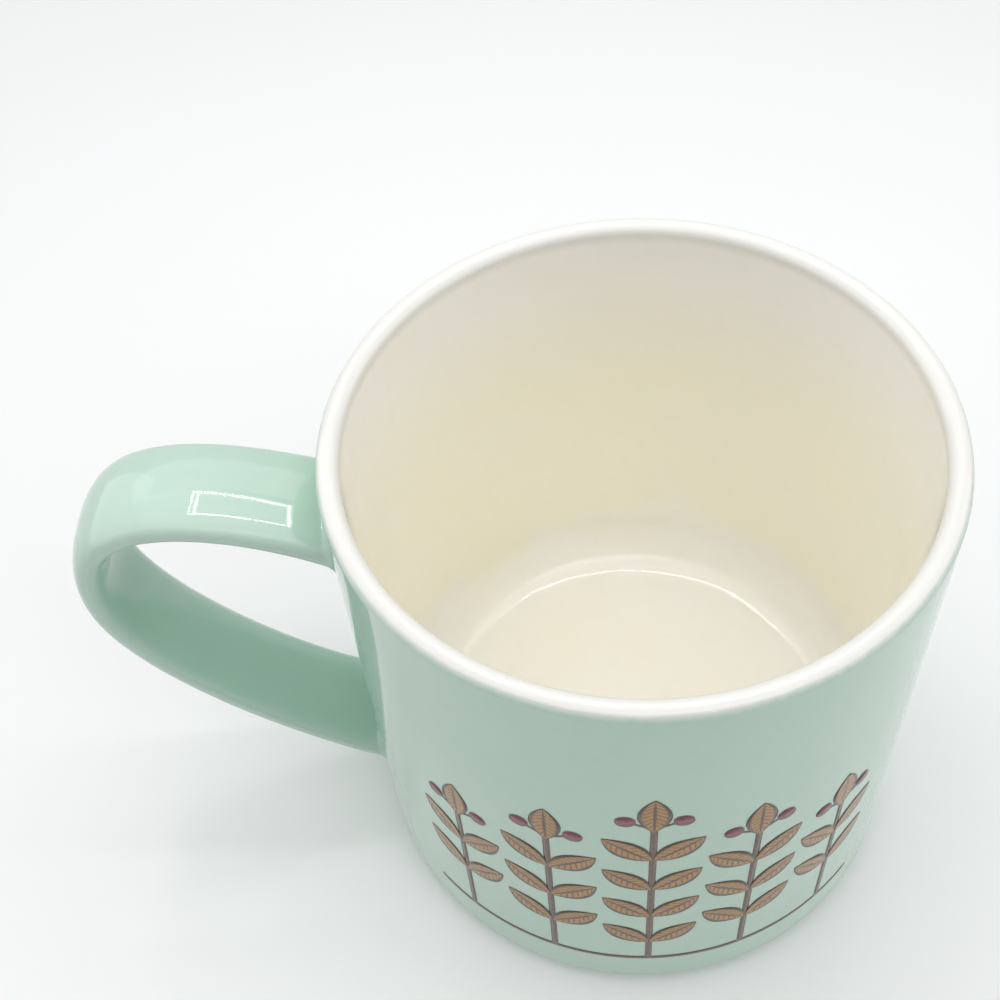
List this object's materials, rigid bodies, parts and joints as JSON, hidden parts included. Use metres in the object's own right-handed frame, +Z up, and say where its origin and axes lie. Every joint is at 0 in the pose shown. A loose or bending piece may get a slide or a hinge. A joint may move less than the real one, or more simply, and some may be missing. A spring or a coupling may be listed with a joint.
{
  "type": "coffee mug",
  "caption": "Straight-sided glazed ceramic mug with a broad strap handle, cream inside, mint green outside, with a leaf print on the front.",
  "frame": {"origin": "middle of the mug's bounding box, on the table under the foot ring; the cup's own axis is 20.9 mm along +X", "axes": "+Z up along the cup's axis, -X towards the handle, -Y out of the printed front"},
  "size_m": [0.1338, 0.0922, 0.093],
  "materials": {
    "bisque": "matte",
    "liner_glaze": "gloss",
    "outer_glaze": "gloss",
    "print_enamel": "gloss"
  },
  "bodies": {
    "root": {"cup_body": "bisque", "handle": "bisque", "upper_slip_joint": "bisque", "lower_slip_joint": "bisque", "liner_glaze": "liner_glaze", "outer_glaze": "outer_glaze", "base_glaze": "outer_glaze", "print": "print_enamel"}
  },
  "joints": []
}
